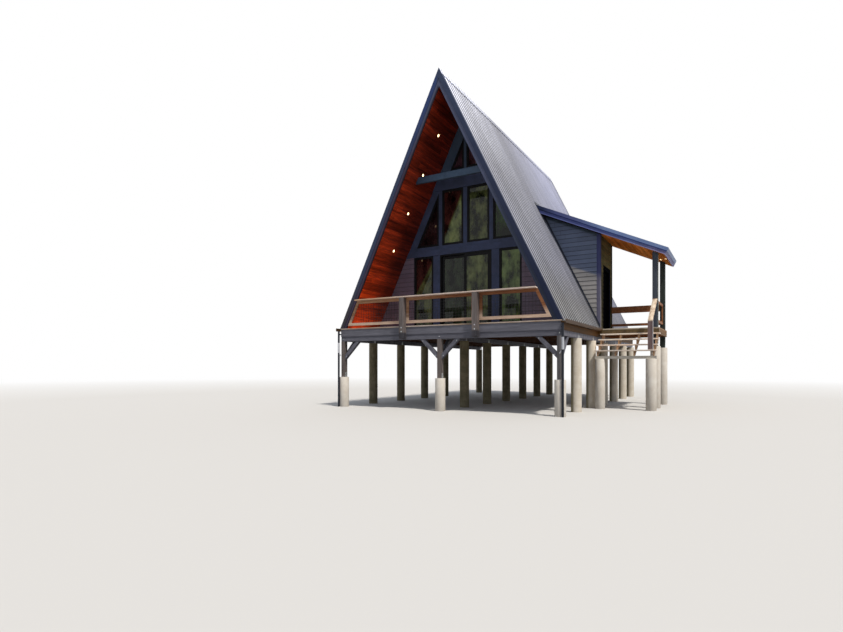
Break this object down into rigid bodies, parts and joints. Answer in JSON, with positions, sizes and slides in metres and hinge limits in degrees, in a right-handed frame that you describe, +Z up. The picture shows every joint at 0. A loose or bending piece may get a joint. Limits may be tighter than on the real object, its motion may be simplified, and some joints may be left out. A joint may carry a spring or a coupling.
{
  "type": "a-frame cabin",
  "caption": "Steep a-frame cabin with ribbed metal roof, glazed front, covered deck, side dormer with porch and stair, on timber posts and round piers.",
  "frame": {"origin": "at the lowest ground, under the ridge, at the front of the deck, on the underside of the middle front footing", "axes": "+Z up, +Y from the glazed front to the back along the ridge, +X to the side with the porch"},
  "size_m": [9.6482, 11.3725, 10.248],
  "materials": {
    "concrete": "cast, matt",
    "grey_timber": "solid grey stain",
    "blue_timber": "dark blue-grey paint",
    "brown_timber": "weathered treated lumber",
    "deck_timber": "weathered boards",
    "floor_timber": "satin boards",
    "roof_timber": "bare framing",
    "roof_metal": "ribbed, satin charcoal",
    "trim_metal": "folded, satin navy",
    "gutter_metal": "folded, satin brown",
    "cedar": "oiled red cedar",
    "cedar_rail": "clear cedar",
    "siding": "painted lap siding",
    "frame_black": "powder coat, satin",
    "glass": "clear, double pane",
    "wire": "black coated wire",
    "lamp": "frosted, lit",
    "knob": "satin"
  },
  "bodies": {
    "cabin": {"post_footings": "concrete", "left_piers": "concrete", "middle_piers": "concrete", "right_piers": "concrete", "deck_posts": "grey_timber", "knee_braces": "grey_timber", "floor_beams": "grey_timber", "floor_joists": "brown_timber", "front_rim": "grey_timber", "deck_boards": "deck_timber", "house_floor": "floor_timber", "left_roof_panel": "roof_timber", "right_roof_front": "roof_timber", "right_roof_rear": "roof_timber", "right_roof_upper": "roof_timber", "left_roof_metal": "roof_metal", "right_roof_metal": "roof_metal", "ridge_cap": "roof_metal", "rake_boards": "blue_timber", "trim_metal": "trim_metal", "left_ceiling": "cedar", "right_ceiling": "cedar", "ceiling_lights": "lamp", "tie_beam": "blue_timber", "front_wall_left": "siding", "front_wall_right": "siding", "front_beams": "blue_timber", "front_posts": "blue_timber", "gable_panel": "blue_timber", "window_frames": "frame_black", "window_glass": "glass", "slider_frame": "frame_black", "back_wall": "siding", "dormer_end_walls": "siding", "dormer_side_piers": "siding", "dormer_wall_over": "siding", "corner_boards": "blue_timber", "shed_roof_panel": "roof_timber", "shed_roof_metal": "roof_metal", "shed_ceiling": "cedar", "entry_frame": "frame_black", "frame_hinges": "frame_black", "rim_boards": "brown_timber", "porch_posts": "grey_timber", "stair_sill": "grey_timber", "porch_rails": "cedar_rail", "stair_stringers": "brown_timber", "stair_treads": "deck_timber", "front_rail": "cedar_rail", "rail_posts": "grey_timber", "rail_mesh": "wire", "gutters": "gutter_metal", "downpipes": "trim_metal"},
    "entry_leaf": {"entry_door": "frame_black", "entry_handle": "knob", "leaf_hinges": "frame_black"},
    "slider": {"sliding_door": "frame_black", "sliding_door_glass": "glass"}
  },
  "joints": [
    {"name": "entry_hinge", "type": "hinge", "parent": "cabin", "child": "entry_leaf", "pos_m": [3.537, 6.054, 3.6], "axis": [0, 0, -1], "range_deg": [0, 100]},
    {"name": "slider_track", "type": "slide", "parent": "cabin", "child": "slider", "axis": [1, 0, 0], "range_m": [0, 0.8]}
  ]
}
